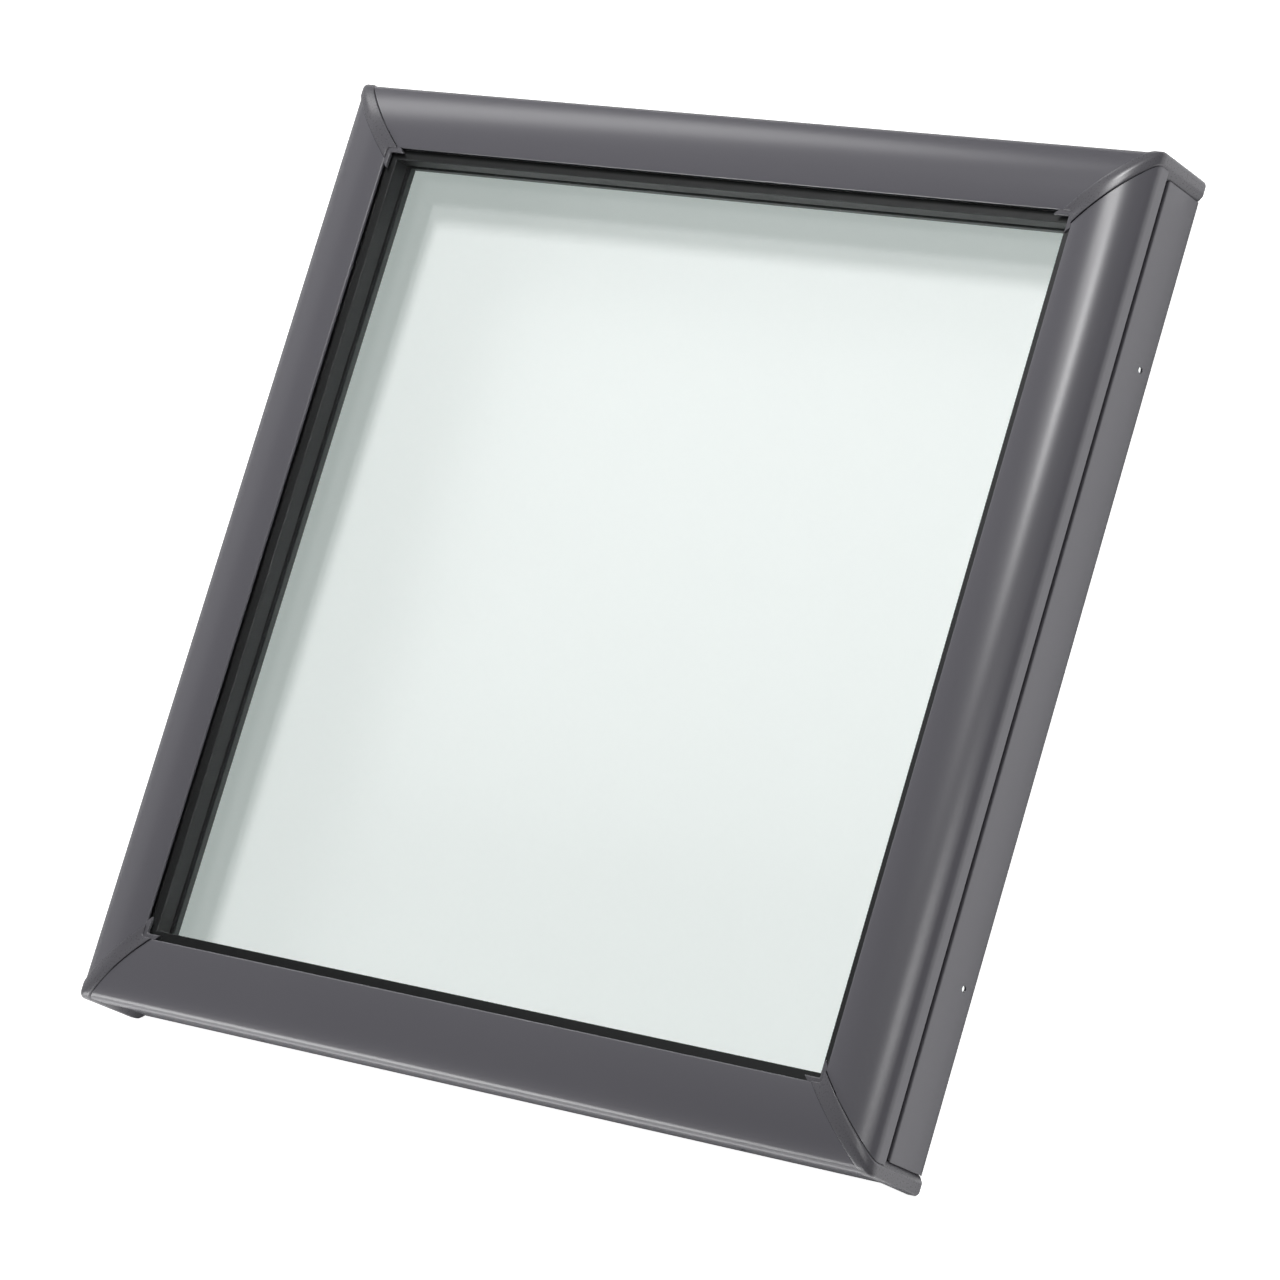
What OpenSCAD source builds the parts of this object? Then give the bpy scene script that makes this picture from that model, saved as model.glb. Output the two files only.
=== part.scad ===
// Fixed roof skylight for a square timber curb: a mitred aluminium frame on moulded corner keys
// holds a sealed double glazing unit, and its skirt laps over the outside of the curb.
// Every side has one section. It is drawn with x outward from the frame's inner lip and y upward
// from the skirt's lower edge, and is then carried along the side and mitred at both ends.

/* [Opening] */
// Clear width between the inner lips
clear_w = 596; // [450:1:1200]
// Clear length between the inner lips
clear_l = 596; // [450:1:1200]

/* [Aluminium profile] */
// Thickness of the extruded walls
wall = 1.5; // [1.2:0.1:2]
// Width of the crown from the inner lip to its outer wall
crown_w = 49; // [46:0.5:54]
// Radius of the crown's upper face
crown_r = 62; // [58:1:80]
// Distance of the crown's highest line from the inner lip
top_line = 14; // [10:0.5:18]
// Radius of the crown's outer shoulder
shoulder_r = 8; // [6:0.5:9]
// Radius of the bead along the inner lip
bead_r = 1.25; // [1:0.05:1.4]
// Depth of the crown from the inner lip down to the drip edge
crown_depth = 21.6; // [20:0.1:24]
// Height of the drip edge, up to the step behind it
drip_h = 2.9; // [2:0.1:4]
// Overhang of the crown beyond the skirt
overhang = 2.8; // [2.2:0.1:4]
// Set-back of the skirt's neck, which leaves an open groove under the drip edge
neck_back = 2.6; // [2:0.1:2.9]
// Height from the skirt's rounded shoulder up to the drip edge
neck_h = 6.7; // [5:0.1:9]
// Distance from the clip leg's inner face to the crown's outer wall
clip_back = 19; // [16:0.5:23]
// Reach of the clip leg's hook
hook = 1.5; // [1:0.1:2]

/* [Curb] */
// Lap of the skirt over the curb
curb_lap = 33; // [25:0.5:40]
// Thickness of the foam gasket on the curb
curb_gasket_t = 3; // [2:0.5:5]
// Width of the foam gasket on the curb
curb_gasket_w = 20; // [12:1:24]
// Distance from the inner lip to the foam gasket
curb_gasket_u = 2; // [0:0.5:4]
// Diameter of the fixing holes in the skirt
fix_hole_d = 4.5; // [3:0.1:6]
// Height of the fixing holes above the skirt's lower edge
fix_hole_z = 12; // [8:0.5:20]
// Distance from a fixing hole to the inner lip at the end of its side
fix_hole_inset = 86; // [60:1:120]

/* [Glazing] */
// Thickness of the outer pane
outer_pane_t = 4; // [3:0.1:6]
// Height of the sealed space between the panes
cavity_h = 13; // [10:0.5:16]
// Thickness of the laminated inner pane
inner_pane_t = 6.4; // [5:0.1:8]
// Cover of the frame over the panes' edges
glass_cover = 8; // [6:0.5:10]
// Clearance between the panes' edges and the frame
edge_gap = 2.5; // [1.5:0.1:4]
// Reach of the spacer inside the inner lip
spacer_reach = 7.2; // [5:0.1:9]
// Width of the spacer bar
spacer_w = 7.5; // [6:0.1:9]
// Thickness of the glazing gasket at the inner lip
lip_gasket_t = 1.3; // [1:0.1:2]
// Thickness of the support gasket under the inner pane
support_gasket_t = 1.4; // [1:0.1:2.5]
// Inset of the support gasket from both edges of its ledge
support_gasket_inset = 2; // [1:0.5:4]
// Length of a setting block
block_l = 50; // [30:1:80]

/* [Inner frame] */
// Height of the ledge under the glazing
ledge_h = 5.2; // [5:0.1:8]
// Thickness of the inner frame's walls
liner_wall = 1.6; // [1.2:0.1:1.8]

/* [Corner keys] */
// Length of the key along each side of the mitre
key_leg = 8.5; // [7:0.5:14]
// Height of the key's face above the profile's face
key_proud = 1; // [0.5:0.1:1.5]
// Wall of the moulded key
key_wall = 4; // [3:0.5:5]
// Reach of the key's foot inside the lip
foot_reach = 3.5; // [2:0.5:5]
// Radius of the cap's lower end
cap_r = 4; // [2:0.5:5]
// Radius of the key's upright outer corner
corner_r = 3; // [1:0.5:5]
// Reach of the spigots past the corner of the opening
spigot_reach = 25; // [18:1:50]
// Diameter of the corner screws
screw_d = 3.5; // [3:0.1:3.9]
// Length of the corner screws under the head
screw_l = 12; // [8:1:14]

/* [Hidden] */
$fn = 96;
// Sliding clearance of pieces that push or clip together
fit = 0.2;
// Open seam between a profile's end and the key
seam = 0.25;
// Depth by which joined shapes run into each other
bite = wall / 2;
// Depth by which a rounding's arc runs past the faces that it joins
crossing = 0.1;

// Heights, from the curb upward
liner_z = curb_lap + curb_gasket_t;
ledge_z = liner_z + ledge_h;
inner_pane_z = ledge_z + support_gasket_t;
cavity_z = inner_pane_z + inner_pane_t;
outer_pane_z = cavity_z + cavity_h;
glass_top = outer_pane_z + outer_pane_t;
lip_h = glass_top + lip_gasket_t + wall;
drip_z = lip_h - crown_depth;
floor_z = drip_z + drip_h;

// Crown: one wide arc through the lip, then the shoulder arc, tangent to it and to the outer wall
crown_c = [top_line, lip_h - sqrt(crown_r ^ 2 - top_line ^ 2)];
shoulder_run = crown_w - shoulder_r - top_line;
shoulder_rise = sqrt((crown_r - shoulder_r) ^ 2 - shoulder_run ^ 2);
shoulder_c = crown_c + [shoulder_run, shoulder_rise];
lip_angle = atan2(lip_h - crown_c[1], -top_line);
shoulder_angle = atan2(shoulder_rise, shoulder_run);

// Places across the section
skirt_u = crown_w - overhang;
neck_u = skirt_u - neck_back;
neck_z = drip_z - neck_h;
neck_c = [neck_u, neck_z - neck_back];
web_u = glass_cover + edge_gap;
clip_u = crown_w - clip_back;
web_top = crown_c[1] + sqrt((crown_r - bite) ^ 2 - (top_line - web_u) ^ 2);
liner_u = clip_u - fit;
liner_top = floor_z - fit;
clip_z = liner_z + ledge_h;
hook_h = 2 * hook;
groove = hook + fit;
spacer_u = spacer_w - spacer_reach;
bead_u = 2 * bead_r;
lip_gasket_u = bead_u + 2 * fit;
foot_z = glass_top + fit;
block_fit = fit / 2;
block_z = inner_pane_z + block_fit;
block_h = glass_top - inner_pane_z - outer_pane_t;

// Corner screws, in the middle between clip leg and skirt, with their heads clear of the neck
screw_u = (clip_u + wall + skirt_u - wall) / 2;
screw_x = screw_u - key_leg - 6 * screw_d;
screw_clear = 0.05;
head_r = screw_d;
head_h = 0.65 * screw_d;
slot_w = screw_d / 4;

// Sides as [turn, half distance between lips, length between lips]
SIDES = [[0, clear_l / 2, clear_w], [90, clear_w / 2, clear_l],
         [180, clear_l / 2, clear_w], [270, clear_w / 2, clear_l]];
// Corners as [turn, lip corner]
CORNERS = [[0, [clear_w / 2, clear_l / 2]], [90, [-clear_w / 2, clear_l / 2]],
           [180, [-clear_w / 2, -clear_l / 2]], [270, [clear_w / 2, -clear_l / 2]]];
HEAD = 0;
LEFT = 1;
SILL = 2;
RIGHT = 3;
HEAD_RIGHT = 0;
HEAD_LEFT = 1;
SILL_LEFT = 2;
SILL_RIGHT = 3;

PAINT = "#6b6a70";
MOULDED = "#636268";
RUBBER = "#1c1d1e";
LINER = "#3a403e";

// Part of a ring about a point, between two angles
module ring_sector(centre, r_out, r_in, a0, a1) {
    far = 2 * r_out;
    translate(centre) intersection() {
        difference() {
            circle(r_out);
            circle(r_in);
        }
        polygon([[0, 0], for (a = [a0, (a0 + a1) / 2, a1]) far * [cos(a), sin(a)]]);
    }
}

// Skin of the crown, from the lip over the shoulder to the drip edge. Discs within the wall
// run into both stretches where these meet, so that the skin is whole at any size.
module crown_skin(outside, inside) {
    skin = inside + outside;
    middle_r = shoulder_r + outside - skin / 2;
    ring_sector(crown_c, crown_r + outside, crown_r - inside, shoulder_angle, lip_angle);
    ring_sector(shoulder_c, shoulder_r + outside, shoulder_r - inside, 0, shoulder_angle);
    translate([crown_w - inside, drip_z]) square([skin, shoulder_c[1] - drip_z]);
    translate(shoulder_c + middle_r * [cos(shoulder_angle), sin(shoulder_angle)]) circle(skin / 4);
    translate(shoulder_c + [middle_r, 0]) circle(skin / 4);
}

// Skirt, from its lower edge over a rounded shoulder to the neck under the crown's floor.
// Its stretches are joined by discs too.
module skirt_skin() {
    translate([skirt_u - wall, 0]) square([wall, neck_c[1]]);
    translate([skirt_u - wall / 2, neck_c[1]]) circle(wall / 4);
    ring_sector(neck_c, neck_back, neck_back - wall, 0, 90);
    translate([neck_u, neck_z - wall / 2]) circle(wall / 4);
    translate([neck_u - wall, neck_z - wall]) square([wall, floor_z + bite - neck_z + wall]);
}

// Aluminium section: crown, lip bead, skirt, hollow for the key, glazing rebate and clip leg
module profile_section() {
    crown_skin(0, wall);
    translate([bead_r, lip_h - bead_r]) circle(bead_r);
    skirt_skin();
    translate([web_u, floor_z]) square([crown_w - bite - web_u, wall]);
    translate([web_u, floor_z]) square([wall, web_top - floor_z]);
    translate([clip_u, clip_z]) square([wall, floor_z + bite - clip_z]);
    translate([clip_u - hook, clip_z]) square([hook + bite, hook_h]);
}

// Moulded section of a key: thicker crown skin, floor, rebate wall and the cap over the skirt's end
module key_section() {
    crown_skin(key_proud, wall);
    intersection() {
        crown_skin(key_proud, key_wall);
        translate([web_u, drip_z]) square([crown_w, crown_depth * 2]);
    }
    translate([web_u, floor_z]) square([crown_w - bite - web_u, key_wall]);
    translate([web_u, floor_z]) square([key_wall, web_top - floor_z]);
    cap_u = skirt_u - wall;
    cap_w = crown_w + key_proud - cap_u;
    translate([cap_u, cap_r]) square([cap_w, shoulder_c[1] - cap_r]);
    translate([cap_u, 0]) square([cap_w - cap_r, cap_r]);
    ring_quarter_u = cap_u + cap_w - cap_r;
    translate([ring_quarter_u, cap_r]) intersection() {
        circle(cap_r);
        translate([0, -cap_r]) square(cap_r);
    }
}

// Hollow spigot that fits the profile's chamber
module spigot_section() {
    low = [web_u + wall + fit, floor_z + wall + fit];
    run = shoulder_c[0] - low[0];
    difference() {
        intersection() {
            translate(low) square([run, crown_depth]);
            translate(crown_c) circle(crown_r - wall - fit);
        }
        translate(low + [key_wall, key_wall]) square([run - 2 * key_wall - 2 * screw_d, key_wall]);
    }
}

// Insulating inner frame: chambered ledge under the glass and chambered upstand beside it
module liner_section() {
    upstand_h = liner_top - liner_z;
    room_u = web_u + liner_wall;
    difference() {
        union() {
            translate([-spacer_reach, liner_z]) square([spacer_reach + liner_u, ledge_h]);
            translate([web_u, liner_z]) square([liner_u - web_u, upstand_h]);
        }
        translate([-spacer_reach + liner_wall, liner_z + liner_wall])
            square([spacer_reach + web_u - 2 * liner_wall, ledge_h - 2 * liner_wall]);
        translate([room_u, liner_z + liner_wall])
            square([liner_u - groove - liner_wall - room_u, upstand_h - 2 * liner_wall]);
        translate([liner_u - groove, clip_z - fit]) square([groove + fit, hook_h + 2 * fit]);
    }
}

module glazing_gasket_section() {
    intersection() {
        translate([lip_gasket_u, glass_top]) square([web_u - fit - lip_gasket_u, 2 * lip_gasket_t + wall]);
        translate(crown_c) circle(crown_r - wall - block_fit);
    }
}

module support_gasket_section() {
    run = spacer_reach + glass_cover - 2 * support_gasket_inset;
    translate([support_gasket_inset - spacer_reach, ledge_z]) square([run, support_gasket_t]);
}

module curb_gasket_section() {
    translate([curb_gasket_u, curb_lap]) square([curb_gasket_w, curb_gasket_t]);
}

// A section carried along one side and cut at both ends parallel to the mitres
module along_side(i, end_gap) {
    turn = SIDES[i][0];
    half = SIDES[i][1];
    run = SIDES[i][2];
    u0 = -2 * spacer_reach;
    u1 = 2 * crown_w;
    end0 = run / 2 + u0 - end_gap;
    end1 = run / 2 + u1 - end_gap;
    rotate([0, 0, turn]) translate([0, half, 0]) intersection() {
        translate([-end1, 0, 0]) rotate([90, 0, 90]) linear_extrude(2 * end1) children();
        translate([0, 0, -lip_h]) linear_extrude(3 * lip_h)
            polygon([[-end0, u0], [end0, u0], [end1, u1], [-end1, u1]]);
    }
}

module at_corner(i) {
    corner = CORNERS[i][1];
    translate([corner[0], corner[1], 0]) rotate([0, 0, CORNERS[i][0]]) children();
}

// Upright plate along the mitre x = y, from one distance past it to another, measured along x
module mitre_plate(from, to) {
    u1 = 2 * crown_w;
    linear_extrude(3 * lip_h)
        polygon([[from - u1, -u1], [to - u1, -u1], [to + u1, u1], [from + u1, u1]]);
}

// A section of the key carried along x
module key_run() {
    u1 = 2 * crown_w;
    translate([-u1, 0, 0]) rotate([90, 0, 90]) linear_extrude(2 * u1) children();
}

module whole_section() {
    key_section();
    spigot_section();
}

// One leg of a key, with the opening's corner at the origin and the mitre along x = y
module key_leg_solid() {
    u1 = 2 * crown_w;
    length = key_leg + 2 * u1 + spigot_reach;
    intersection() {
        key_run() key_section();
        mitre_plate(-key_leg, 0);
    }
    intersection() {
        translate([-spigot_reach, 0, 0]) rotate([90, 0, 90]) linear_extrude(length) spigot_section();
        linear_extrude(3 * lip_h) polygon([[-length, 0], [0, 0], [u1, u1], [-length, u1]]);
    }
    foot_h = lip_h - foot_z;
    translate([-key_leg - foot_reach, -foot_reach, foot_z])
        cube([key_leg + foot_reach, foot_reach - seam, foot_h]);
    translate([bead_u - key_leg, -foot_reach, foot_z]) cube([key_leg, foot_reach + bead_u, foot_h]);
}

// What both legs of a key share about the mitre, where it runs into the two
module mitre_core() {
    intersection() {
        key_run() whole_section();
        mirror([1, -1, 0]) key_run() whole_section();
        mitre_plate(-key_wall / 2, key_wall / 2);
    }
}

module key(i) {
    at_corner(i) difference() {
        union() {
            key_leg_solid();
            mirror([1, -1, 0]) key_leg_solid();
            mitre_core();
        }
        both_screws() translate([0, 0, floor_z]) cylinder(h = crown_depth, d = screw_d + 2 * screw_clear);
        upright_corner();
    }
}

// What the rounding takes off the key's upright outer corner
module upright_corner() {
    centre = crown_w + key_proud + crossing - corner_r;
    translate([centre, centre, -lip_h]) linear_extrude(3 * lip_h) difference() {
        square(2 * corner_r);
        circle(corner_r);
    }
}

// Both screw places of a corner
module both_screws() {
    translate([screw_x, screw_u, 0]) children();
    translate([screw_u, screw_x, 0]) children();
}

module profile(i) {
    run = SIDES[i][2];
    difference() {
        along_side(i, key_leg + seam) profile_section();
        rotate([0, 0, SIDES[i][0]]) translate([0, SIDES[i][1], 0]) for (end = [-1, 1]) {
            translate([end * (run / 2 - fix_hole_inset), skirt_u - 2 * wall, fix_hole_z])
                rotate([-90, 0, 0]) cylinder(h = 3 * wall, d = fix_hole_d);
            translate([end * (run / 2 + screw_x), screw_u, floor_z - wall])
                cylinder(h = 3 * wall, d = screw_d + 2 * fit);
        }
    }
}

module liner(i) {
    along_side(i, 0) liner_section();
}

module glazing_gasket(i) {
    along_side(i, 0) glazing_gasket_section();
}

module support_gasket(i) {
    along_side(i, 0) support_gasket_section();
}

module curb_gasket(i) {
    along_side(i, 0) curb_gasket_section();
}

// Rectangle about the centre, with its edges at a distance outside the inner lips
module plan(outside) {
    square([clear_w + 2 * outside, clear_l + 2 * outside], center = true);
}

module pane(z, thickness) {
    translate([0, 0, z]) linear_extrude(thickness) plan(glass_cover);
}

module plan_ring(outside, inside) {
    translate([0, 0, cavity_z]) linear_extrude(cavity_h) difference() {
        plan(outside);
        plan(inside);
    }
}

module head_profile() color(PAINT) profile(HEAD);
module left_profile() color(PAINT) profile(LEFT);
module sill_profile() color(PAINT) profile(SILL);
module right_profile() color(PAINT) profile(RIGHT);

module head_right_key() color(MOULDED) key(HEAD_RIGHT);
module head_left_key() color(MOULDED) key(HEAD_LEFT);
module sill_left_key() color(MOULDED) key(SILL_LEFT);
module sill_right_key() color(MOULDED) key(SILL_RIGHT);

module head_liner() color(LINER) liner(HEAD);
module left_liner() color(LINER) liner(LEFT);
module sill_liner() color(LINER) liner(SILL);
module right_liner() color(LINER) liner(RIGHT);

module head_glazing_gasket() color(RUBBER) glazing_gasket(HEAD);
module left_glazing_gasket() color(RUBBER) glazing_gasket(LEFT);
module sill_glazing_gasket() color(RUBBER) glazing_gasket(SILL);
module right_glazing_gasket() color(RUBBER) glazing_gasket(RIGHT);

module head_support_gasket() color(RUBBER) support_gasket(HEAD);
module left_support_gasket() color(RUBBER) support_gasket(LEFT);
module sill_support_gasket() color(RUBBER) support_gasket(SILL);
module right_support_gasket() color(RUBBER) support_gasket(RIGHT);

module head_curb_gasket() color(RUBBER) curb_gasket(HEAD);
module left_curb_gasket() color(RUBBER) curb_gasket(LEFT);
module sill_curb_gasket() color(RUBBER) curb_gasket(SILL);
module right_curb_gasket() color(RUBBER) curb_gasket(RIGHT);

module outer_pane() color("#eaf0ee", 0.35) pane(outer_pane_z, outer_pane_t);
module inner_pane() color("#e2ebe7", 0.35) pane(inner_pane_z, inner_pane_t);

module spacer_frame() color("#26292a") plan_ring(spacer_u, -spacer_reach);
module edge_seal() color(RUBBER) plan_ring(glass_cover, spacer_u);

// Two blocks on each side, which centre the panes in the frame
module setting_blocks() color("#2b2d2c") for (side = SIDES, end = [-1, 1])
    rotate([0, 0, side[0]])
        translate([end * side[2] / 4 - block_l / 2, side[1] + glass_cover + block_fit, block_z])
            cube([block_l, edge_gap - 2 * block_fit, block_h]);

// Slotted pan-head screws, driven upward through the floor into the spigots
module corner_screws() color("#a9aaac") for (i = [0 : len(CORNERS) - 1])
    at_corner(i) both_screws() translate([0, 0, floor_z]) {
        cylinder(h = screw_l, d = screw_d);
        difference() {
            translate([0, 0, -head_h]) cylinder(h = head_h, r1 = 0.75 * head_r, r2 = head_r);
            translate([-head_r, -slot_w / 2, -head_h - slot_w]) cube([2 * head_r, slot_w, 2 * slot_w]);
        }
    }

head_profile();
left_profile();
sill_profile();
right_profile();
head_right_key();
head_left_key();
sill_left_key();
sill_right_key();
head_liner();
left_liner();
sill_liner();
right_liner();
head_glazing_gasket();
left_glazing_gasket();
sill_glazing_gasket();
right_glazing_gasket();
head_support_gasket();
left_support_gasket();
sill_support_gasket();
right_support_gasket();
head_curb_gasket();
left_curb_gasket();
sill_curb_gasket();
right_curb_gasket();
outer_pane();
inner_pane();
spacer_frame();
edge_seal();
setting_blocks();
corner_screws();
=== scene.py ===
# %% [markdown]
# # A fixed roof skylight in a white studio
# The skylight's solids arrive as a fixed frame, in metres. The cells below dress it piece by piece: each
# piece gets a finer surface, worked out with numpy, and the finish of the real material, and lies where its
# solid lies. Floor, lights and camera follow.

# %% Load the frame
import math

import bmesh
import bpy
import numpy as np
from mathutils import Matrix, Vector
from mathutils.geometry import tessellate_polygon


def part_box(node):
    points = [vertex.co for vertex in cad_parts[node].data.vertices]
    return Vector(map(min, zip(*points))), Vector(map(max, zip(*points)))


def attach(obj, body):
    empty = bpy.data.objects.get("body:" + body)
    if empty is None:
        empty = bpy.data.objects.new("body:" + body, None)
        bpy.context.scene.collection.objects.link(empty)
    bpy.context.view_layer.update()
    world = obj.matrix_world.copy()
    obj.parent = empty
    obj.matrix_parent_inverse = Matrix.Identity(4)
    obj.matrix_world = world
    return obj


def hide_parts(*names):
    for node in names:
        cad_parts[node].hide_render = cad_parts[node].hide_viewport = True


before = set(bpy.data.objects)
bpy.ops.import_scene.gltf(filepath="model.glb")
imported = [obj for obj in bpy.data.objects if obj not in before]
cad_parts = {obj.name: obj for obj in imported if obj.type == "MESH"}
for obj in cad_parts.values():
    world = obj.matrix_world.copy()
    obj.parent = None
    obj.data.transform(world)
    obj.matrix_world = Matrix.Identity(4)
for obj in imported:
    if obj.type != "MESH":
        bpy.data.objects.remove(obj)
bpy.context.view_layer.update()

# %% [markdown]
# ## Sizes
# All four sides share one section. It is drawn in millimetres, with u outward from the inner lip and z
# upward from the skirt's lower edge. What the boxes of the solids tell is read from them; the rest are the
# few sizes that shape the profiles and their corner keys.

# %% Sizes of the section
MM = 0.001


def low_high(node):
    """Corners of a solid's box, in millimetres."""
    return [np.array(corner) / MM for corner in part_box(node)]


profile_low, profile_high = low_high("head_profile")
_, key_high = low_high("head_right_key")
liner_low, liner_high = low_high("head_liner")
_, pane_high = low_high("outer_pane")
_, spacer_high = low_high("spacer_frame")

lip = profile_low[1]
crown_w = profile_high[1] - lip
key_proud = key_high[1] - profile_high[1]
glass_top = pane_high[2]

wall = 1.5
glass_gap = 2.5
crown_r = 62.0
top_line = 14.0
shoulder_r = 8.0
nose_r = 1.25
crown_depth = 21.6
drip_h = 2.9
overhang = 2.8
neck_back = 2.6
neck_h = 6.7
key_leg = 8.5
seam = 0.7
skirt_seam = 1.6
foot_reach = 3.5
cap_r = 4.0
corner_r = 3.0
fit = 0.2

crown_c = np.array([top_line, profile_high[2] - crown_r])
lip_h = crown_c[1] + math.sqrt(crown_r ** 2 - top_line ** 2)
shoulder_c = np.array([crown_w - shoulder_r, 0.0])
shoulder_c[1] = crown_c[1] + math.sqrt((crown_r - shoulder_r) ** 2 - (shoulder_c[0] - top_line) ** 2)
shoulder_angle = math.degrees(math.atan2(*(shoulder_c - crown_c)[::-1]))
drip_z = lip_h - crown_depth
floor_z = drip_z + drip_h
skirt_u = crown_w - overhang
neck_u = skirt_u - neck_back
neck_z = drip_z - neck_h
neck_c = np.array([neck_u, neck_z - neck_back])
web_u = pane_high[1] - lip + glass_gap
print("lip at", round(lip, 2), "lip height", round(lip_h, 2), "shoulder angle", round(shoulder_angle, 2))

# %% [markdown]
# ## Outlines
# A section is a closed outline of straight stretches and arcs. Real edges are never razor sharp, so each
# corner of the outline carries its own small radius, and that is what catches the light along every edge.
# An arc is sampled directly; a rounded corner is worked out from its two sides, for all corners at once.

# %% Arcs and rounded outlines


def unit(v):
    """Vectors divided by their lengths."""
    return v / np.maximum(np.linalg.norm(v, axis=-1, keepdims=True), 1e-9)


def arc(centre, radius, start, end, steps):
    """Points on a circle: the centre plus radius times (cos, sin) of evenly spread angles."""
    angle = np.radians(np.linspace(start, end, steps + 1))
    return np.asarray(centre) + radius * np.column_stack([np.cos(angle), np.sin(angle)])


def sharp(points):
    """Outline rows of x, y and no radius."""
    return np.column_stack([points, np.zeros(len(points))])


def rounded(corners, steps=5, hold=0.2):
    """Closed outline from rows of x, y and radius.

    A corner's arc touches its two sides at radius / tan(half the corner's angle), and its centre lies at
    radius / sin(half the angle) on the bisector. The arc's points turn evenly from one touch to the other.
    One more point a little along each side keeps the flat face beside the arc looking flat.
    """
    corners = np.asarray(corners, float)
    point, radius = corners[:, :2], corners[:, 2:]
    back = unit(np.roll(point, 1, axis=0) - point)
    ahead = unit(np.roll(point, -1, axis=0) - point)
    half = np.arccos(np.clip((back * ahead).sum(axis=1, keepdims=True), -1, 1)) / 2
    reach = radius / np.tan(half)
    centre = point + unit(back + ahead) * radius / np.sin(half)
    turn = np.pi - 2 * half
    share = np.linspace(0, 1, steps + 1)
    spread = np.maximum(np.sin(turn), 1e-9)
    first = (np.sin((1 - share) * turn) / spread)[..., None] * (point + back * reach - centre)[:, None]
    last = (np.sin(share * turn) / spread)[..., None] * (point + ahead * reach - centre)[:, None]
    turned = np.where(radius[:, None] > 0, centre[:, None] + first + last, point[:, None])
    beside = reach + hold * (radius > 0)
    before, after = point + back * beside, point + ahead * beside
    outline = np.concatenate([before[:, None], turned, after[:, None]], axis=1).reshape(-1, 2)
    apart = np.linalg.norm(outline - np.roll(outline, 1, axis=0), axis=1) > 1e-3
    return outline[apart]


# %% [markdown]
# ## Solids from sections
# Every bar of this frame is an extrusion, so one function does most of the work: it joins a row of cross-
# sections into a closed skin and fills both ends. A hollow bar is the same with a second outline for its
# chamber. The result is one welded mesh with its faces turned outward.

# %% Lofts and pieces
SHARP_ANGLE = math.radians(35)


def loft(loops, closed=False):
    """Points and faces of a solid through a row of cross-sections.

    Each loop is an array of stations by points by three: the first is the outside, and each further one a
    hollow. Neighbouring points of neighbouring stations make a quad. Both ends are filled with triangles,
    unless the row of stations is closed into a ring.
    """
    points, faces, start = [], [], 0
    for loop in loops:
        stations, count = loop.shape[:2]
        index = start + np.arange(stations * count).reshape(stations, count)
        onward = np.roll(index, -1, axis=0) if closed else index[1:]
        here = index if closed else index[:-1]
        quads = np.stack([here, np.roll(here, -1, axis=1), np.roll(onward, -1, axis=1), onward], axis=-1)
        faces += quads.reshape(-1, 4).tolist()
        points.append(loop.reshape(-1, 3))
        start += stations * count
    if not closed:
        counts = [loop.shape[1] for loop in loops]
        starts = np.cumsum([0] + [loop.shape[0] * loop.shape[1] for loop in loops])[:-1]
        first = np.concatenate([s + np.arange(c) for s, c in zip(starts, counts)])
        last = np.concatenate([s + np.arange(c) + (loop.shape[0] - 1) * c
                               for s, c, loop in zip(starts, counts, loops)])
        cap = np.array(tessellate_polygon([loop[0].tolist() for loop in loops]))
        faces += first[cap].tolist() + last[cap].tolist()
    return np.concatenate(points), faces


def joined(parts):
    """Several lofts as one list of points and one of faces, each part's indices moved past those before."""
    starts = np.cumsum([0] + [len(points) for points, _ in parts])
    faces = [(np.array(face) + start).tolist() for (_, group), start in zip(parts, starts) for face in group]
    return np.concatenate([points for points, _ in parts]), faces


def piece(node, points, faces, finish):
    """Closed mesh in place of a solid: welded, faces outward, smooth except across sharp edges."""
    mesh = bpy.data.meshes.new(node + "_finished")
    mesh.from_pydata((points * MM).tolist(), [], faces)
    form = bmesh.new()
    form.from_mesh(mesh)
    bmesh.ops.remove_doubles(form, verts=form.verts, dist=1e-6)
    bmesh.ops.recalc_face_normals(form, faces=form.faces)
    form.to_mesh(mesh)
    form.free()
    mesh.shade_smooth()
    mesh.set_sharp_from_angle(angle=SHARP_ANGLE)
    mesh.materials.append(finish)
    dressed = bpy.data.objects.new(node + "_finished", mesh)
    bpy.context.scene.collection.objects.link(dressed)
    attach(dressed, "root")
    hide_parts(node)
    print(f"{node}: {len(mesh.vertices)} points, {len(mesh.polygons)} faces")
    return dressed


# %% [markdown]
# ## Sides and corners
# The head side lies along +Y. The other three are the same bar turned by quarter turns, and so are the
# corners, starting from the one between head and right. A turn swaps and flips coordinates, so it stays
# exact.

# %% Quarter turns
SIDES = ("head", "left", "sill", "right")
CORNERS = ("head_right", "head_left", "sill_left", "sill_right")
QUARTER = np.array([[0.0, 1, 0], [-1, 0, 0], [0, 0, 1]])


def turned(points, quarters):
    """Points turned about the upright axis by whole quarters: each maps (x, y) to (-y, x)."""
    return points @ np.linalg.matrix_power(QUARTER, quarters)


def mitred(outline, end_gap, inner_stations=()):
    """A section along the head side: x runs from one mitre, lip + u - gap from the middle, to the other."""
    end = lip + outline[:, 0] - end_gap
    stations = [-end, *[np.full_like(end, x) for x in inner_stations], end]
    return np.stack([np.column_stack([x, lip + outline[:, 0], outline[:, 1]]) for x in stations])


# %% [markdown]
# ## Finishes
# Each finish starts from what the real surface is. Colours are written as the eye would name them on a
# screen, in sRGB hex, and turned to the linear values that the renderer counts in. One helper adds a node,
# sets it up and links it, so that a finish reads from top to bottom.

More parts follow.
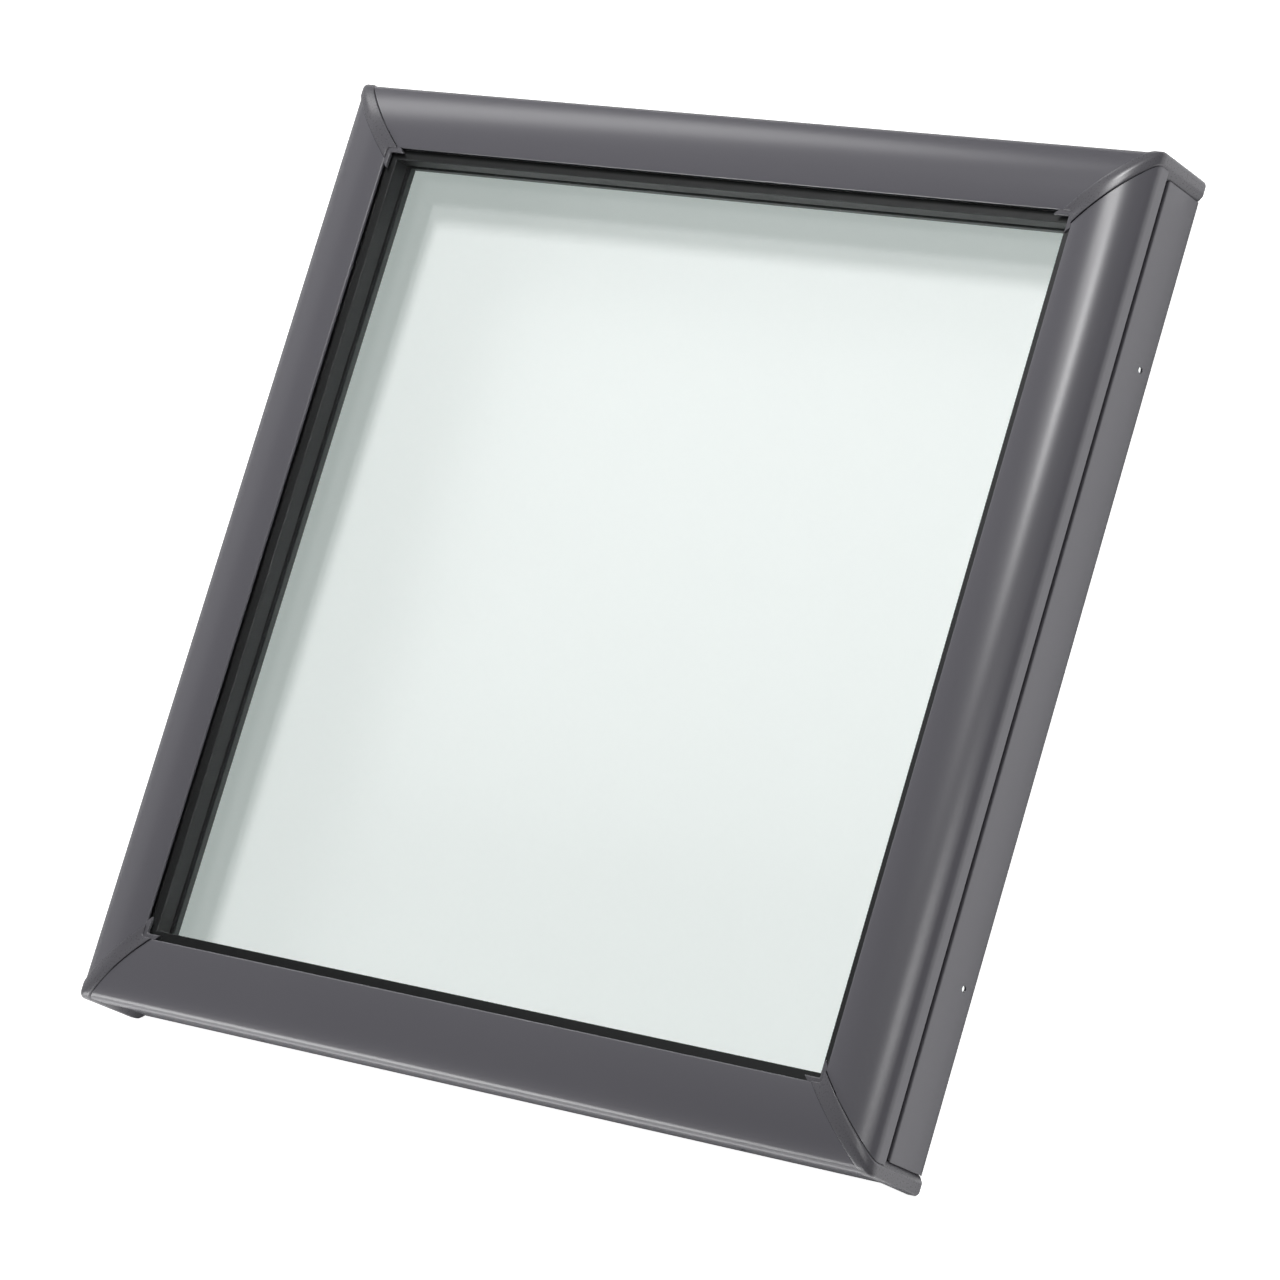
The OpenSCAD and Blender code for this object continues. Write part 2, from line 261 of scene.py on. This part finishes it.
# %% Colours and nodes


def linear(code):
    """Linear red, green, blue and alpha of an sRGB hex colour, by the sRGB transfer curve."""
    value = np.array([int(code[i:i + 2], 16) for i in (1, 3, 5)]) / 255
    bent = np.where(value <= 0.04045, value / 12.92, ((value + 0.055) / 1.055) ** 2.4)
    return (*bent, 1.0)


def add(finish, kind, links=None, **settings):
    """One node in a finish: attributes and input values by name, then links from other nodes' outputs."""
    made = finish.node_tree.nodes.new(kind)
    for name, value in settings.items():
        if hasattr(made, name):
            setattr(made, name, value)
        else:
            made.inputs[name.replace("_", " ")].default_value = value
    for name, source in (links or {}).items():
        finish.node_tree.links.new(source, made.inputs[name])
    return made


def new_finish(name):
    """Empty node finish with only its output."""
    finish = bpy.data.materials.new(name)
    finish.use_nodes = True
    finish.node_tree.nodes.clear()
    return finish


def textured_finish(name, code, varied, patch_mm, grain_mm, grain_depth_mm, rough, rough_spread=0.05,
                    **shader):
    """Opaque finish: a broad noise drifts between two close colours, a fine one gives grain and gloss."""
    finish = new_finish(name)
    place = add(finish, "ShaderNodeTexCoord")
    patches = add(finish, "ShaderNodeTexNoise", {"Vector": place.outputs["Object"]},
                  Scale=1 / (patch_mm * MM), Detail=3.0)
    colour = add(finish, "ShaderNodeMix", {"Factor": patches.outputs["Fac"]}, data_type="RGBA")
    colour.inputs[6].default_value = linear(code)
    colour.inputs[7].default_value = linear(varied)
    grain = add(finish, "ShaderNodeTexNoise", {"Vector": place.outputs["Object"]},
                Scale=1 / (grain_mm * MM), Detail=2.0)
    gloss = add(finish, "ShaderNodeMapRange", {"Value": grain.outputs["Fac"]})
    gloss.inputs["To Min"].default_value = rough - rough_spread
    gloss.inputs["To Max"].default_value = rough + rough_spread
    bump = add(finish, "ShaderNodeBump", {"Height": grain.outputs["Fac"]},
               Distance=grain_depth_mm * MM, Strength=1.0)
    surface = add(finish, "ShaderNodeBsdfPrincipled",
                  {"Base Color": colour.outputs[2], "Roughness": gloss.outputs["Result"],
                   "Normal": bump.outputs["Normal"]}, **shader)
    add(finish, "ShaderNodeOutputMaterial", {"Surface": surface.outputs["BSDF"]})
    print("finish:", name)
    return finish


# %% [markdown]
# ## Powder-coated aluminium
# The profiles are extruded, then sprayed with grey powder and baked. The coat flows a little as it bakes,
# which leaves a faint orange peel and a satin gloss. It covers the metal fully, so the shader is a plain
# dielectric. The peel of the real coat is about one millimetre wide, too fine for a picture of the whole
# frame; it is drawn at twice that.

# %% Powder coat
powder_coat = textured_finish("powder_coated_aluminium", "#6e6d73", "#717076", patch_mm=90, grain_mm=2.0,
                              grain_depth_mm=0.004, rough=0.26, rough_spread=0.02, Specular_IOR_Level=0.5)

# %% [markdown]
# ## The aluminium profiles
# One outline holds the whole extrusion: the nose along the lip, the wide crown arc, the tighter shoulder,
# the drip edge with the groove under it, the skirt with its round shoulder, the leg that the inner frame
# clips to, and the wall beside the glass. A second outline is the chamber under the crown. Two screw holes
# go through the skirt near its ends: the two flat faces there get a square patch that runs into a circle,
# and a short tube joins the circles. The skirt stops a little further from the corner than the crown does.

# %% Profile outlines
edge_r, nook_r, small_r = 0.5, 0.3, 0.2
hem_r = 0.7
nose_back = 3.2
hook = 1.5
clip_back = 19.0
ledge_h = 5.2
clip_u = crown_w - clip_back
clip_z = liner_low[2] + ledge_h
hole_r = 2.25
hole_z = 12.0
hole_inset = 86.0
hole_patch = 4.0

nose_angle = math.degrees(math.acos((nose_r - top_line) / (crown_r - nose_r)))
nose_c = crown_c + (crown_r - nose_r) * np.array([math.cos(math.radians(nose_angle)),
                                                   math.sin(math.radians(nose_angle))])


def crown_angle(u, radius):
    """Angle on an arc about the crown's centre at a distance u from the lip."""
    return math.degrees(math.acos((u - top_line) / radius))


def profile_outline():
    """Outside of the aluminium section, clockwise from under the nose."""
    inside_r = crown_r - wall
    patch_top, patch_low = hole_z + hole_patch, hole_z - hole_patch
    return rounded(np.vstack([
        sharp(arc(nose_c, nose_r, 320, nose_angle, 16)),
        sharp(arc(crown_c, crown_r, nose_angle, shoulder_angle, 48)[1:]),
        sharp(arc(shoulder_c, shoulder_r, shoulder_angle, 0, 20)[1:]),
        [[crown_w, drip_z, edge_r], [crown_w - wall, drip_z, edge_r], [crown_w - wall, floor_z, nook_r],
         [neck_u, floor_z, nook_r], [neck_u, neck_z, 0]],
        sharp(arc(neck_c, neck_back, 90, 0, 12)[1:]),
        [[skirt_u, patch_top, 0], [skirt_u, patch_low, 0], [skirt_u, 0, hem_r], [skirt_u - wall, 0, hem_r],
         [skirt_u - wall, patch_low, 0], [skirt_u - wall, patch_top, 0]],
        sharp(arc(neck_c, neck_back - wall, 0, 90, 8)),
        [[neck_u - wall, neck_z - wall, edge_r], [neck_u - wall, floor_z, edge_r],
         [clip_u + wall, floor_z, edge_r], [clip_u + wall, clip_z, edge_r], [clip_u - hook, clip_z, edge_r],
         [clip_u - hook, clip_z + 2 * hook, nook_r], [clip_u, clip_z + 2 * hook, small_r],
         [clip_u, floor_z, edge_r], [web_u, floor_z, edge_r]],
        sharp(arc(crown_c, inside_r, crown_angle(web_u, inside_r), crown_angle(nose_back, inside_r), 8))]))


def chamber_outline():
    """Inside of the hollow under the crown."""
    inside_r = crown_r - wall
    left = web_u + wall
    return rounded(np.vstack([
        [[crown_w - wall, floor_z + wall, edge_r], [left, floor_z + wall, edge_r]],
        sharp(arc(crown_c, inside_r, crown_angle(left, inside_r), shoulder_angle, 24)),
        sharp(arc(shoulder_c, shoulder_r - wall, shoulder_angle, 0, 10)[1:])]))


def screw_holes(points, faces, outline, stations):
    """Bores the skirt: a quad of either face becomes four fields between its corners and a circle, and quads
    join the two circles into a tube."""
    count, around = len(outline), 24
    angle = np.radians(45 + 360 / around * np.arange(around))
    row = np.arange(count)
    on_patch = np.isclose(np.abs(outline[:, 1] - hole_z), hole_patch, atol=1e-3)
    outer = row[on_patch & np.isclose(outline[:, 0], skirt_u, atol=1e-3)]
    inner = row[on_patch & np.isclose(outline[:, 0], skirt_u - wall, atol=1e-3)][::-1]
    for first in (1, 3):
        middle = (stations[first - 1] + stations[first]) / 2
        here, onward = first * count, (first + 1) * count
        rims = []
        for high, low in (outer, inner):
            square = [onward + high, here + high, here + low, onward + low]
            faces = [face for face in faces if set(face) != set(square)]
            rim = len(points) + np.arange(around)
            depth = np.full(around, lip + outline[high, 0])
            across, upward = hole_r * np.cos(angle), hole_r * np.sin(angle)
            circle = np.column_stack([middle + across, depth, hole_z + upward])
            points = np.concatenate([points, circle])
            quarter = around // 4
            for side in range(4):
                bow = np.take(rim, np.arange((side + 1) * quarter, side * quarter - 1, -1), mode="wrap")
                faces.append([square[side], square[(side + 1) % 4], *bow.tolist()])
            rims.append(rim)
        faces += np.stack([rims[0], np.roll(rims[0], -1), np.roll(rims[1], -1), rims[1]], axis=1).tolist()
    return points, faces


# %% Profiles
hole_x = lip - hole_inset
stations = [-hole_x - hole_patch, -hole_x + hole_patch, hole_x - hole_patch, hole_x + hole_patch]
outline = profile_outline()
end_gap = key_leg + np.where(outline[:, 1] < drip_z, skirt_seam, seam)
bar_points, bar_faces = loft([mitred(outline, end_gap, stations), mitred(chamber_outline(), key_leg + seam)])
bar_points, bar_faces = screw_holes(bar_points, bar_faces, outline, stations)
for quarters, side in enumerate(SIDES):
    piece(side + "_profile", turned(bar_points, quarters), bar_faces, powder_coat)

# %% [markdown]
# ## Moulded corner keys
# A key is one plastic moulding. Its strip follows the mitre over the crown, one millimetre proud of the
# profiles, ends inside the lip in a small foot, and caps the ends of the skirts below. The same idea as a
# bar makes it: a section carried along a path, only that the path is the corner itself, two short legs with
# a round bend between them. At both ends the section shrinks over a quarter circle, which rounds the
# strip's long edges. Foot and tongue are made in the same way: the foot lies round the lip's corner, and
# the tongue behind the ends of the skirts, where it keeps light out of the seams. Spigots that push into
# the profiles' chambers are added as hollow bars.

# %% Key finish
# Moulded ASA is coloured through to match the coat, and the mould's fine texture leaves it a little duller
key_plastic = textured_finish("moulded_asa_plastic", "#6a696e", "#6d6c71", patch_mm=40, grain_mm=1.2,
                              grain_depth_mm=0.004, rough=0.28, rough_spread=0.03, Specular_IOR_Level=0.5)

# %% Key outlines
foot_z = glass_top + fit
foot_r, foot_edge = 1.0, 0.4
nose_u = 2 * nose_r
root_in, root_up, root_down = 1.0, 0.3, 0.4
root_u, root_low, root_top = root_in - foot_reach, foot_z + root_up, lip_h - root_down
root_out = -0.6
strip_u, strip_r = 1.2, 0.8
cap_back = 0.4
cap_u, cap_neck_u = skirt_u - wall - cap_back, neck_u - wall - cap_back
cap_z = neck_z - wall - cap_back
slide = 0.15
tongue_back = 0.65
tongue_reach = 4.0
tongue_low = 1.0


def key_outline():
    """Outside of the key's section, clockwise from the root that the foot hides."""
    outer_r, inside_r = crown_r + key_proud, crown_r - wall
    outer_u = crown_w + key_proud
    lip_top = crown_c[1] + math.sqrt(outer_r ** 2 - top_line ** 2)
    return rounded(np.vstack([
        [[root_u, root_low, small_r], [root_u, root_top, small_r], [root_out, root_top, small_r],
         [0, lip_top, strip_r]],
        sharp(arc(crown_c, outer_r, crown_angle(strip_u, outer_r), shoulder_angle, 40)),
        sharp(arc(shoulder_c, shoulder_r + key_proud, shoulder_angle, 0, 20)[1:]),
        [[outer_u, 0, cap_r], [cap_u, 0, edge_r], [cap_u, cap_z, edge_r], [cap_neck_u, cap_z, edge_r],
         [cap_neck_u, floor_z, edge_r], [web_u, floor_z, edge_r]],
        sharp(arc(crown_c, inside_r, crown_angle(web_u, inside_r), crown_angle(nose_u, inside_r), 6)),
        [[nose_u, root_low, nook_r]]]), steps=6)


def tongue_outline():
    """The key's tongue: it follows the back of skirt and neck at a sliding fit and closes the seam."""
    skirt_back, neck_wall, top = skirt_u - wall, neck_u - wall, neck_z - wall
    return rounded([
        [skirt_back - tongue_back, tongue_low, small_r],
        [skirt_back - tongue_back, top - tongue_back, small_r],
        [neck_wall - tongue_back, top - tongue_back, small_r],
        [neck_wall - tongue_back, floor_z - fit, small_r],
        [neck_wall - slide, floor_z - fit, small_r],
        [neck_wall - slide, top - slide, small_r],
        [skirt_back - slide, top - slide, neck_back - wall - slide],
        [skirt_back - slide, tongue_low, small_r]])


def foot_outline():
    """The foot's section: its top meets the profile's nose in a hollow that follows the nose's round."""
    hollow_r = nose_r + slide
    top_angle = 180 - math.degrees(math.asin((lip_h - nose_c[1]) / hollow_r))
    return rounded(np.vstack([[[-foot_reach, foot_z, foot_edge], [-foot_reach, lip_h, foot_r]],
                              sharp(arc(nose_c, hollow_r, top_angle, 180, 8)),
                              [[-slide, foot_z, foot_edge]]]))


def outward(outline):
    """Unit normals of a clockwise outline: the chord between a point's neighbours, turned a quarter left."""
    chord = np.roll(outline, -1, axis=0) - np.roll(outline, 1, axis=0)
    return unit(np.column_stack([-chord[:, 1], chord[:, 0]]))


def round_corner(outline, leg, bend, edge):
    """A section carried round the corner, with the opening's corner at the origin.

    Along a leg the place is (u - d, u), with d the distance to the mitre; in the bend it is (u - bend) plus
    bend times (sin, cos) of the angle from one leg to the other. Near both ends the outline moves inward by
    edge * (1 - cos) while d grows by edge * sin.
    """
    turn = np.radians([0, 25, 50, 75, 90])
    distance = np.concatenate([leg - edge + edge * np.sin(turn[::-1]), [(leg + bend) / 2]])
    shrink = np.concatenate([edge * (1 - np.cos(turn[::-1])), [0]])
    smaller = outline - shrink[:, None, None] * outward(outline)
    legs = np.stack([smaller[..., 0] - distance[:, None], smaller[..., 0], smaller[..., 1]], axis=-1)
    angle = np.radians(np.linspace(0, 90, 13))[:, None]
    u, z = outline[:, 0], outline[:, 1]
    arch = np.stack([u - bend + bend * np.sin(angle), u - bend + bend * np.cos(angle),
                     np.broadcast_to(z, (len(angle), len(z)))], axis=-1)
    return np.concatenate([legs, arch, legs[::-1][..., [1, 0, 2]]])


channel_u, channel_z = (4.0, 17.8), (4.0, 8.0)


def spigot(reach):
    """Hollow bar along one leg, from inside the key to past the opening's corner."""
    low = np.array([web_u + wall + fit, floor_z + wall + fit])
    right, top_r = shoulder_c[0], crown_r - wall - fit
    crest = arc(crown_c, top_r, crown_angle(low[0], top_r), crown_angle(right, top_r), 16)
    outside = rounded(np.vstack([[[right, low[1], edge_r], [*low, edge_r]], sharp(crest)]))
    (near, far), (under, over) = channel_u, channel_z
    channel = low + np.array([[near, under], [far, under], [far, over], [near, over]])
    ends = [lambda u: np.full_like(u, -reach), lambda u: u - key_leg / 2]
    return loft([np.stack([np.column_stack([end(ring[:, 0]), ring[:, 0], ring[:, 1]]) for end in ends])
                 for ring in (outside, channel)])


# %% Keys
foot_bend = 1.0
thin_edge = 0.1
spigot_reach = 25.0
body = loft([round_corner(key_outline(), key_leg, corner_r, edge_r)])
foot = loft([round_corner(foot_outline(), key_leg + foot_reach, foot_bend, thin_edge)])
tongue = loft([round_corner(tongue_outline(), key_leg + tongue_reach, corner_r, thin_edge)])
prong_points, prong_faces = spigot(spigot_reach)
other = (prong_points[:, [1, 0, 2]], prong_faces)
key_points, key_faces = joined([body, foot, tongue, (prong_points, prong_faces), other])
for quarters, corner in enumerate(CORNERS):
    place = key_points + np.array([lip, lip, 0])
    piece(corner + "_key", turned(place, quarters), key_faces, key_plastic)

# %% [markdown]
# ## Inner frame and gaskets
# Under the glass lies a dark frame of extruded PVC with two chambers, clipped to the aluminium. Black
# rubber strips seal the glass above and below, and strips of closed-cell foam lie on the roof's curb. They
# are all bars with mitred ends.

# %% Plastic and rubber finishes
# Extruded PVC leaves its die smooth, with a soft satin sheen
liner_pvc = textured_finish("extruded_pvc", "#323837", "#363c3b", patch_mm=60, grain_mm=1.5,
                            grain_depth_mm=0.004, rough=0.45)
# EPDM rubber is black with soot, and dull
rubber = textured_finish("epdm_rubber", "#141516", "#18191a", patch_mm=25, grain_mm=0.8,
                         grain_depth_mm=0.01, rough=0.6)
# Foam strips are cut from a sheet, so their faces show cut cells: matt and grainy
foam = textured_finish("closed_cell_foam", "#1a1b1c", "#232425", patch_mm=4, grain_mm=1.4,
                       grain_depth_mm=0.15, rough=0.85)

# %% Inner frame
liner_wall = 1.6
ledge_in = liner_low[1] - lip
liner_z, liner_top = liner_low[2], liner_high[2]
liner_u = clip_u - fit
groove = hook + fit


def rectangle(inner, outer, low, high, radius):
    """Outline of a plain bar or chamber, clockwise from its lower inner corner, with one radius for all."""
    return rounded([[inner, low, radius], [inner, high, radius],
                    [outer, high, radius], [outer, low, radius]])


liner_outside = rounded([
    [ledge_in, liner_z, edge_r], [ledge_in, clip_z, edge_r], [web_u, clip_z, nook_r],
    [web_u, liner_top, edge_r], [liner_u, liner_top, edge_r], [liner_u, clip_z + 2 * hook + fit, small_r],
    [liner_u - groove, clip_z + 2 * hook + fit, small_r], [liner_u - groove, clip_z - fit, small_r],
    [liner_u, clip_z - fit, small_r], [liner_u, liner_z, edge_r]])
ledge_room = rectangle(ledge_in + liner_wall, web_u - liner_wall,
                       liner_z + liner_wall, clip_z - liner_wall, nook_r)
upstand_room = rectangle(web_u + liner_wall, liner_u - groove - liner_wall,
                         liner_z + liner_wall, liner_top - liner_wall, nook_r)
liner_points, liner_faces = loft([mitred(ring, 0) for ring in (liner_outside, ledge_room, upstand_room)])
for quarters, side in enumerate(SIDES):
    piece(side + "_liner", turned(liner_points, quarters), liner_faces, liner_pvc)

# %% Gaskets


def strip(kind, finish, edge):
    """The four strips of one gasket, with the solid's own section and rounded edges."""
    low, high = low_high("head_" + kind)
    inner, outer = low[1] - lip, high[1] - lip
    points, faces = loft([mitred(rectangle(inner, outer, low[2], high[2], edge), 0)])
    for quarters, side in enumerate(SIDES):
        piece(f"{side}_{kind}", turned(points, quarters), faces, finish)


strip("glazing_gasket", rubber, edge=0.4)
strip("support_gasket", rubber, edge=0.4)
strip("curb_gasket", foam, edge=0.8)

# %% [markdown]
# ## The sealed glazing unit
# Two panes are held apart by a black spacer bar and sealed round the edge. The panes are real slabs, so
# that the renderer bends light as the glass does: it is the bending that lifts the dark inner frame towards
# the eye. The outer pane has the faint tint of float glass. For shadow rays and for light from matt
# surfaces the slab is swapped for a clear filter, because light that crosses a window falls on the floor
# behind it. Setting blocks and corner screws are plain shapes out of sight, so they keep their solids and
# only get a finish.

# %% Glass finish


def glass_finish(name, body, filter_colour):
    """Clear dielectric of index 1.52 for the eye, and a plain filter for light to and from the floor."""
    finish = new_finish(name)
    slab = add(finish, "ShaderNodeBsdfPrincipled", Base_Color=linear(body), Roughness=0.0, IOR=1.52)
    slab.inputs["Transmission Weight"].default_value = 1.0
    shade = add(finish, "ShaderNodeBsdfTransparent", Color=linear(filter_colour))
    path = add(finish, "ShaderNodeLightPath")
    lamp_side = add(finish, "ShaderNodeMixShader",
                    {0: path.outputs["Is Shadow Ray"], 1: slab.outputs[0], 2: shade.outputs[0]})
    both_sides = add(finish, "ShaderNodeMixShader",
                     {0: path.outputs["Is Diffuse Ray"], 1: lamp_side.outputs[0], 2: shade.outputs[0]})
    add(finish, "ShaderNodeOutputMaterial", {"Surface": both_sides.outputs[0]})
    print("finish:", name)
    return finish


float_glass = glass_finish("float_glass", "#fdfefe", "#fefefe")
laminated_glass = glass_finish("laminated_glass", "#fefefe", "#fefefe")

# %% Panes
SQUARE = np.array([[1, 1], [-1, 1], [-1, -1], [1, -1]])


def pane(node, arris, finish):
    """Slab with its edges ground off at 45 degrees: four squares in a stack, the outer two smaller."""
    low, high = low_high(node)
    half = high[0] - np.array([arris, 0, 0, arris])
    height = np.array([low[2], low[2] + arris, high[2] - arris, high[2]])
    level = np.broadcast_to(height[:, None, None], (4, 4, 1))
    points, faces = loft([np.concatenate([half[:, None, None] * SQUARE, level], axis=2)])
    piece(node, points, faces, finish)


pane("outer_pane", arris=0.6, finish=float_glass)
pane("inner_pane", arris=0.6, finish=laminated_glass)

# %% Spacer and edge parts
# The spacer is an extruded polymer bar, black with a satin face
spacer_black = textured_finish("black_polymer_spacer", "#17191a", "#1b1d1e", patch_mm=30, grain_mm=0.9,
                               grain_depth_mm=0.006, rough=0.5)
# Polysulphide is pumped in as a paste, and sets black and slightly uneven
sealant = textured_finish("polysulphide_sealant", "#0f1010", "#141414", patch_mm=15, grain_mm=2.0,
                          grain_depth_mm=0.02, rough=0.55)
# Setting blocks are moulded in hard rubber, dull and a shade greyer
block_rubber = textured_finish("hard_rubber_block", "#26282a", "#2b2d2f", patch_mm=20, grain_mm=1.0,
                               grain_depth_mm=0.01, rough=0.6)
# Zinc plating is bright, and faintly mottled by its crystals
zinc = textured_finish("zinc_plated_steel", "#b4b6b8", "#a4a7ab", patch_mm=3, grain_mm=0.6,
                       grain_depth_mm=0.004, rough=0.32, Metallic=1.0)


def square_ring(node, inner, outer, edge, finish):
    """A bar bent round the glass: its section stands on each corner's diagonal, and the row closes."""
    low, high = low_high(node)
    ring = rectangle(inner, outer, low[2], high[2], edge)
    out = (lip + ring[:, 0])[None, :, None]
    height = np.broadcast_to(ring[None, :, 1:], (4, len(ring), 1))
    points, faces = loft([np.concatenate([out * SQUARE[:, None], height], axis=2)], closed=True)
    piece(node, points, faces, finish)


spacer_reach = 7.2
spacer_out = spacer_high[1] - lip
seal_out = pane_high[1] - lip
square_ring("spacer_frame", -spacer_reach, spacer_out, 0.6, spacer_black)
square_ring("edge_seal", spacer_out, seal_out, 0.3, sealant)
for node, finish in (("setting_blocks", block_rubber), ("corner_screws", zinc)):
    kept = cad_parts[node]
    kept.data.materials.clear()
    kept.data.materials.append(finish)

# %% [markdown]
# ## Studio
# The skylight lies on a white floor that the camera sees as pure white, as in a catalogue picture. Light
# and mirror images are another matter: a floor that shone all round would put white rims on the frame. So
# the floor is a plain matt card, with sheets of opal acrylic on it only where light is wanted. The one
# under the glass is very faintly green and lights it from below. The one on the right lifts the skirt while
# the groove above it stays dark. The one in front of the sill, a finger's breadth off, shows in the round
# of its shoulder. Three small soft lights hang overhead, for the streaks along the crowns and the shadows
# seen through the glass. Three wide ones stand low, towards the head, the sill and the left side.

# %% Floor
FLOOR_HALF = 6.0
FLOOR_WHITE = 0.9
SHEET_Z = 0.0005


def floor_sheet(name, low, high, height, glow, hue="#ffffff"):
    """Flat rectangle between two corners, in metres: matt white, with a glow, and whiter to the camera."""
    acrylic = new_finish(name)
    path = add(acrylic, "ShaderNodeLightPath")
    shine = add(acrylic, "ShaderNodeMath", {0: path.outputs["Is Camera Ray"]}, operation="MULTIPLY_ADD")
    shine.inputs[1].default_value = FLOOR_WHITE
    shine.inputs[2].default_value = glow
    surface = add(acrylic, "ShaderNodeBsdfPrincipled", {"Emission Strength": shine.outputs["Value"]},
                  Base_Color=linear("#f0f0f0"), Roughness=0.7, Emission_Color=linear(hue))
    add(acrylic, "ShaderNodeOutputMaterial", {"Surface": surface.outputs["BSDF"]})
    corners = [(low[0], low[1]), (high[0], low[1]), (high[0], high[1]), (low[0], high[1])]
    mesh = bpy.data.meshes.new(name)
    mesh.from_pydata([(x, y, height) for x, y in corners], [], [[0, 1, 2, 3]])
    mesh.materials.append(acrylic)
    sheet = bpy.data.objects.new(name, mesh)
    bpy.context.scene.collection.objects.link(sheet)
    print("floor:", name, "glow", glow)


floor_sheet("matt_card", (-FLOOR_HALF, -FLOOR_HALF), (FLOOR_HALF, FLOOR_HALF), 0.0, 0.0)
floor_sheet("sheet_under_glass", (-0.335, -0.335), (0.335, 0.335), SHEET_Z, 0.48, "#f3fffa")
floor_sheet("sheet_on_right", (0.345, -0.8), (1.2, 0.8), SHEET_Z, 0.82)
floor_sheet("sheet_before_sill", (-1.2, -1.2), (0.35, -0.372), SHEET_Z, 1.0)

# %% Lights


def soft_light(name, place, size, power):
    """Rectangular area light at a place in metres, facing the skylight; size is width by height."""
    lamp = bpy.data.lights.new(name, "AREA")
    lamp.shape = "RECTANGLE"
    lamp.size, lamp.size_y = size
    lamp.energy = power
    holder = bpy.data.objects.new(name, lamp)
    holder.location = place
    holder.rotation_euler = (-holder.location).to_track_quat("-Z", "Y").to_euler()
    bpy.context.scene.collection.objects.link(holder)
    print("light:", name, power, "W")


soft_light("overhead_panel", (-0.35, 1.37, 2.55), (0.45, 0.45), 30)
soft_light("head_strip", (0.1, 0.8, 2.5), (0.22, 0.22), 10)
soft_light("right_strip", (0.86, 0.0, 2.0), (0.22, 0.3), 3.5)
soft_light("head_panel", (-1.6, 1.55, 1.0), (1.2, 0.6), 9)
soft_light("sill_panel", (-1.42, -2.0, 0.5), (1.0, 0.9), 21)
soft_light("far_panel", (-2.5, 0.2, 0.9), (3.0, 1.4), 4)

room = bpy.data.worlds.new("dark_room")
room.use_nodes = True
room.node_tree.nodes["Background"].inputs["Color"].default_value = linear("#ffffff")
room.node_tree.nodes["Background"].inputs["Strength"].default_value = 0.04
bpy.context.scene.world = room

# %% [markdown]
# ## Camera
# A long lens looks down at the skylight and is rolled, so the square stands on a slant in the picture. Its
# place and its three axes were worked out from the corners of the frame.

# %% Camera
camera = bpy.data.cameras.new("camera")
camera.sensor_width = 36.0
camera.lens = 157.75
holder = bpy.data.objects.new("camera", camera)
right = Vector((0.78038, 0.28191, -0.55815))
down = Vector((0.12431, -0.94473, -0.30336))
forward = Vector((-0.61282, 0.16736, -0.7723))
turn = Matrix((right, -down, -forward)).transposed().to_4x4()
holder.matrix_world = Matrix.Translation((2.3596, -0.6613, 2.9756)) @ turn
bpy.context.scene.collection.objects.link(holder)
bpy.context.scene.camera = holder
bpy.context.scene.view_settings.view_transform = "Standard"
